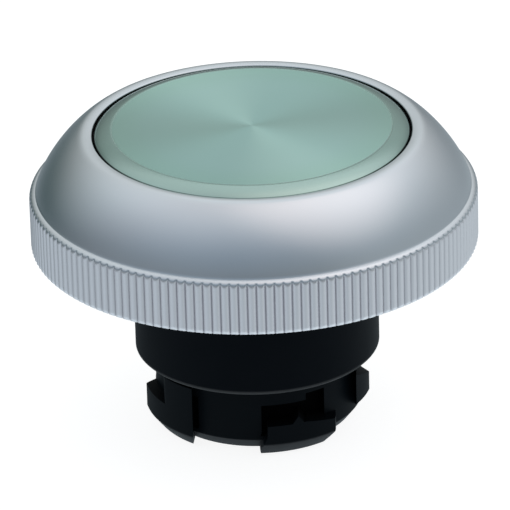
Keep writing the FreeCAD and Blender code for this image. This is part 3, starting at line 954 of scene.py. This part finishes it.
inside = {
    "columns": 144,
    "fillet": 0.07,
    "longest": 0.5,           # mm, between two points of a section
    "turned": {
        "panel_gasket": [(11.45, 0), (17.3, 0), (17.3, 0.7), (11.45, 0.7)],
        "guide_bush": [(5.55, -7.5), (6.35, -7.5), (6.35, -6.0), (7.6, -6.0), (7.6, -5.3),
                       (5.55, -5.3)],
        "spring_washer": [(5.8, -5.3), (7.5, -5.3), (7.5, -4.9), (5.8, -4.9)],
        "membrane_clamp_ring": [(15.7, 2.3), (16.57, 2.3), (16.57, 3.2), (15.7, 3.2)],
        "lens_holder": [(5.5, 6.9), (10.2, 6.9), (10.2, 5.9), (11.5, 5.9), (11.5, 6.9), (14.6, 6.9),
                        (14.6, 7.9), (11.95, 7.9), (11.95, 8.54), (5.5, 8.54)],
        "membrane_grip_ring": [(11.5, 5.82), (14.2, 5.82), (14.2, 6.14), (13.3, 6.14), (13.3, 6.9),
                               (11.5, 6.9)],
        "plunger_sleeve": [(4.2, -12), (5, -12), (5, -10.9), (5.5, -10.9), (5.5, -8.2), (5, -8.2),
                           (5, -7.5), (5.5, -7.5), (5.5, 6.2), (6.05, 6.2), (6.05, 6.9), (5.5, 6.9),
                           (5.5, 8.5), (4.2, 8.5)],
    },
    "discs": {                # these reach the axis
        "insert_plate": [(0, 9.55), (12.4, 9.55), (12.4, 9.15), (0, 9.15)],
        "diffuser_disc": [(0, 9.1), (12.4, 9.1), (12.4, 8.6), (0, 8.6)],
        "light_guide": [(0, 8.39), (1.5, 8.32), (3, 8.08), (4.2, 7.8), (4.2, -11.2), (3.9, -11.5),
                        (0, -11.5)],
    },
    "rings": {                # ring radius, section radius, height
        "bezel_seal_ring": (17.0, 0.28, 3.7),
        "lens_seal_ring": (12.3, 0.3, 8.22),
    },
    "membrane": {
        "section": [(13.4, 6.2), (14.3, 6.2), (14.75, 6.25), (15.05, 2.45), (14.9, 2.05),
                    (14.9, 1.62), (16.5, 1.62), (16.5, 2.22), (15.45, 2.22), (15.5, 2.6),
                    (15.2, 6.6), (14.9, 6.8), (13.4, 6.8)],
        "longest": 0.2,
        "bends": (2.6, 6.2),  # between these heights it gives way
    },
    "spring": {"radius": 6.75, "wire": 0.35, "low": -4.5, "high": 6.5, "turns": 7},
    "clip": {"section": [(5.05, -8.1), (7.15, -8.1), (7.15, -7.6), (5.05, -7.6)],
             "from": 25, "to": 335},       # degrees from the front
    "plate": {"section": [(5, -12.6), (7.3, -12.6), (7.3, -11.3), (6.3, -10.9), (5, -10.9)],
              "slotRadius": 6.2, "slotHalf": 12, "slotSoft": 0.8},
}


def divided(profile, longest, closed):
    # the same line with evenly spaced points added on its long sides
    ends = np.roll(profile, -1, 0) if closed else profile[1:]
    starts = profile if closed else profile[:-1]
    counts = np.maximum(1, np.ceil(np.hypot(*(ends - starts).T) / longest).astype(int))
    line = [a + (b - a) * np.arange(n)[:, None] / n for a, b, n in zip(starts, ends, counts)]
    return np.concatenate(line if closed else [*line, profile[-1:]])


def filleted(corners):
    # the same corners, each with the small fillet that all inner pieces have
    return [(*corner, inside["fillet"]) for corner in corners]


def sweptPoints(centres, across, up, section):
    # a closed section carried along a path; both ends close in the middle of the section
    offsets = across[:, None] * section[None, :, :1] + up[:, None] * section[None, :, 1:]
    offsets = np.concatenate([0 * offsets[:1], offsets, 0 * offsets[-1:]])
    centres = np.concatenate([centres[:1], centres, centres[-1:]])
    return (centres[:, None] + offsets) * mm


def pieceName(node):
    first, *rest = node.split("_")
    return first + "".join(word.capitalize() for word in rest)


def addInner(node, points, closedProfile, rides=True):
    # the record says the piece's slot and its body
    subparts, bodies = frame["record"]["subparts"], frame["record"]["behaviour"]["bodies"]
    slotName = next(part["material_slot"] for part in subparts if part["node"] == node)
    body = next(name for name, nodes in bodies.items() if node in nodes) if rides else None
    mesh = gridMesh(pieceName(node), points, closedProfile)
    return addPiece(pieceName(node), mesh, plain[slotName], body, slotName, node, sharp=40)


def makeTurnedPieces():
    columns, longest = inside["columns"], inside["longest"]
    for node, corners in inside["turned"].items():
        profile = divided(closedRounded(filleted(corners), 3), longest, True)
        addInner(node, turnedPoints(profile, columns), True)
    for node, corners in inside["discs"].items():
        profile = divided(roundedLine(filleted(corners), 3), longest, False)
        addInner(node, turnedPoints(profile, columns), False)
    for node, (radius, section, height) in inside["rings"].items():
        turn = np.linspace(0, -2 * math.pi, 18, endpoint=False)
        profile = np.stack([radius + section * np.cos(turn), height + section * np.sin(turn)], -1)
        addInner(node, turnedPoints(profile, columns), True)


def makeMembrane():
    # its outer bead stays on the collar's floor while its inner bead is pushed by the button; here it is given no
    # body and drawn where it stands
    membrane = inside["membrane"]
    profile = divided(closedRounded(filleted(membrane["section"]), 3), membrane["longest"], True)
    points = turnedPoints(profile, inside["columns"])
    piece = addInner("sealing_membrane", points, True, rides=False)
    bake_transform(piece)


def makeSpring():
    # helix: the angle and the height both grow evenly along the wire
    spring = inside["spring"]
    radius, turns, low, high = spring["radius"], spring["turns"], spring["low"], spring["high"]
    share = np.linspace(0, 1, 48 * turns + 1)
    angle = 2 * math.pi * turns * share
    zero = 0 * angle
    across = np.stack([np.cos(angle), np.sin(angle), zero], -1)
    centres = radius * across + np.stack([zero, zero, low + (high - low) * share], -1)
    pitch = (high - low) / (2 * math.pi * turns * radius)
    along = np.stack([-np.sin(angle), np.cos(angle), zero + pitch], -1)
    up = np.cross(across, along / math.hypot(1, pitch))
    turn = np.linspace(0, 2 * math.pi, 14, endpoint=False)
    section = spring["wire"] * np.stack([np.cos(turn), np.sin(turn)], -1)
    piece = addInner("return_spring", sweptPoints(centres, across, up, section), False)
    bottom, top = (edge.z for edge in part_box("return_spring"))
    joint = next(j for j in frame["joints"] if j["name"] == "button_press")
    travel = max(joint["range_m"])
    (top - bottom - travel) / (top - bottom)
    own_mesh(piece)


def makeClip():
    # the section carried round an open ring
    clip = inside["clip"]
    angle = np.radians(np.linspace(clip["from"], clip["to"], 110))
    zero = 0 * angle
    across = np.stack([np.sin(angle), -np.cos(angle), zero], -1)
    up = np.stack([zero, zero, zero + 1], -1)
    section = closedRounded(filleted(clip["section"]), 3)
    middle = section.mean(0)
    centres = across * middle[0] + up * middle[1]
    addInner("stop_clip", sweptPoints(centres, across, up, section - middle), False)


def makePlate():
    # a turned ring whose radius is cut back to the slots' in two places
    plate = inside["plate"]
    half, soft = plate["slotHalf"], plate["slotSoft"]
    profile = closedRounded(filleted(plate["section"]), 3)
    edges = [turn + side * half for turn in (0, 180) for side in (-1, 1)]
    columns = linesWith(-90, 270, 2.5, edges, soft)
    slot = sum(between(columns, turn - half, turn + half, soft) for turn in (0, 180))
    full = profile[:, :1]
    radius = full + slot[None] * np.minimum(0, plate["slotRadius"] - full)
    angle = np.radians(columns)[None]
    height = profile[:, 1:] + 0 * angle
    points = np.stack([radius * np.sin(angle), -radius * np.cos(angle), height], -1) * mm
    addInner("actuator_plate", points, True)


makeTurnedPieces()
makeMembrane()
makeSpring()
makeClip()
makePlate()


# stage: pale floor, soft surroundings

stage = {
    "floorHalf": 3.0,         # m
    "floorGap": 0.02,         # mm below the lowest point
    "floorTone": 0.35,
    "floorCloud": 0.02,
    "floorGlow": 0.88,
    "sky": (0.080, 0.125, 0.170),
    "skyRise": (0.1, 0.95),   # cosines from straight up where it starts and is full
    "lights": [               # direction, how far it spreads (cosine of its edge), colour
        ((0.991, 0.126, -0.038), -0.49, (0.334, 0.380, 0.400)),
        ((0.446, -0.107, 0.889), 0.74, (0.292, 0.240, 0.215)),
        ((-0.775, -0.617, 0.138), -0.03, (0.215, 0.250, 0.275)),
        ((-0.417, 0.748, 0.516), 0.49, (0.086, 0.131, 0.134)),
        ((-0.016, 0.371, 0.929), 0.20, (0.500, 0.465, 0.430)),
        ((-0.073, 0.003, -0.997), 0.01, (0.590, 0.700, 0.760)),
    ],
}


def makeFloor():
    lowest = cadBox[0][2] - stage["floorGap"] * mm
    half = stage["floorHalf"]
    corners = [(-half, -half, lowest), (half, -half, lowest), (half, half, lowest),
               (-half, half, lowest)]
    mesh = bpy.data.meshes.new("floor")
    mesh.from_pydata(corners, [], [(0, 1, 2, 3)])
    floor = bpy.data.objects.new("floor", mesh)
    bpy.context.scene.collection.objects.link(floor)
    material, shader, start = newMaterial("paleFloor")
    tone, cloud = stage["floorTone"], stage["floorCloud"]
    shade = placeOf(start).noise(4, 2).mix((tone,) * 3, (tone + cloud,) * 3)
    feed(start, shader, Base_Color=shade, Roughness=0.9, Specular_IOR_Level=0.0,
         Emission_Color=(1, 1, 1, 1), Emission_Strength=stage["floorGlow"])
    mesh.materials.append(material)
    floor.visible_glossy = False


def makeSurroundings():
    # a dim sky that brightens upwards, and a few wide soft lights painted on it; seen directly,
    # it is white
    world = bpy.data.worlds.new("softStudio")
    bpy.context.scene.world = world
    world.use_nodes = True
    tree = world.node_tree
    start = Wire(tree)
    background = next(n for n in tree.nodes if n.type == "BACKGROUND")
    way = start.node("ShaderNodeTexCoord", output="Generated")
    black = (0, 0, 0)
    colour = way.dot((0, 0, 1)).step(*stage["skyRise"]).mix(black, stage["sky"])
    for direction, edge, glow in stage["lights"]:
        towards = way.dot(tuple(Vector(direction).normalized()))
        lit = towards.step(edge, 1.0).mix(black, glow)
        colour = start.node("ShaderNodeMix", {"data_type": "RGBA", "blend_type": "ADD"},
                            {0: 1.0, 6: colour, 7: lit}, 2)
    seen = start.node("ShaderNodeLightPath", output="Is Camera Ray")
    colour = seen.mix(colour, (1, 1, 1))
    tree.links.new(colour.socket, background.inputs["Color"])


makeFloor()
makeSurroundings()
print("stage: floor and surroundings")
